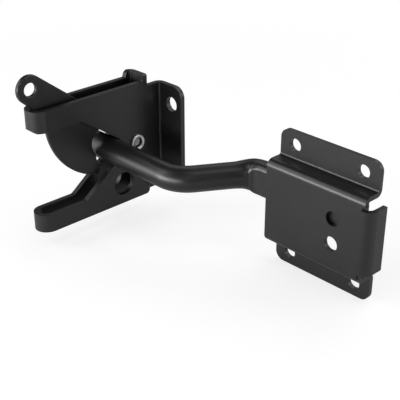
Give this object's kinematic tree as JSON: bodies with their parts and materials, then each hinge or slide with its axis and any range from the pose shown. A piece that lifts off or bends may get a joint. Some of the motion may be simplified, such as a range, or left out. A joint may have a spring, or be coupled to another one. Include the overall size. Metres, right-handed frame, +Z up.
{
  "type": "barn door latch",
  "caption": "Gravity latch of folded black steel: a forked catch with a lifting lever for the post, and a bent striker bar in a raised bracket for the door.",
  "frame": {"origin": "midway between the two screw holes of the catch, on the wall face", "axes": "+X along the wall from the catch to the striker's bracket, +Y into the wall, +Z up"},
  "size_m": [0.1441, 0.0743, 0.0787],
  "materials": {
    "black_catch": "semi-gloss black powder coat",
    "black_lever": "semi-gloss black powder coat",
    "zinc_rivet": "bright zinc plating",
    "zinc_spacer": "bright zinc plating",
    "black_bar": "semi-gloss black powder coat",
    "black_bracket": "semi-gloss black powder coat"
  },
  "bodies": {
    "catch": {"catch_body": "black_catch", "pivot_rivet": "zinc_rivet", "spacer_near": "zinc_spacer", "spacer_far": "zinc_spacer"},
    "lever": {"latch_lever": "black_lever"},
    "striker": {"striker_bar": "black_bar", "strike_bracket": "black_bracket"}
  },
  "joints": [
    {"name": "lever_lift", "type": "hinge", "parent": "catch", "child": "lever", "pos_m": [-0.01385, -0.0165, 0], "axis": [-1, 0, 0], "range_deg": [0, 50]},
    {"name": "striker_slide", "type": "slide", "parent": "catch", "child": "striker", "axis": [1, 0, 0], "range_m": [0, 0.06]}
  ]
}
